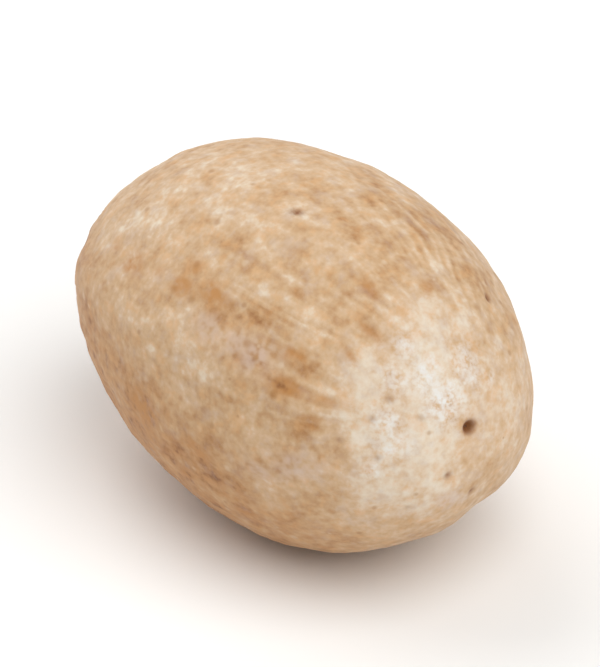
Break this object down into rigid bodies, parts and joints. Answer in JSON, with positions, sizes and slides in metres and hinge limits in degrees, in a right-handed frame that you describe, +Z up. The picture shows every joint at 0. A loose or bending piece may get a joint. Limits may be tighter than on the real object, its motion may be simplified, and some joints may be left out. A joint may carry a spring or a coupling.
{
  "type": "whole nutmeg",
  "caption": "Whole dried nutmeg kernel, egg-shaped, with a pitted chalaza, a ringed hilum scar, a shallow raphe furrow and a small worn resting flat.",
  "frame": {"origin": "on the ground under the middle of the kernel, which lies on its side", "axes": "+X along the kernel towards its chalaza, the end with the small pit; +Z up; +Y completes the right-handed frame"},
  "size_m": [0.0266, 0.0182, 0.0174],
  "materials": {
    "dried_kernel_skin": "matte"
  },
  "bodies": {
    "root": {"nutmeg": "dried_kernel_skin"}
  },
  "joints": []
}
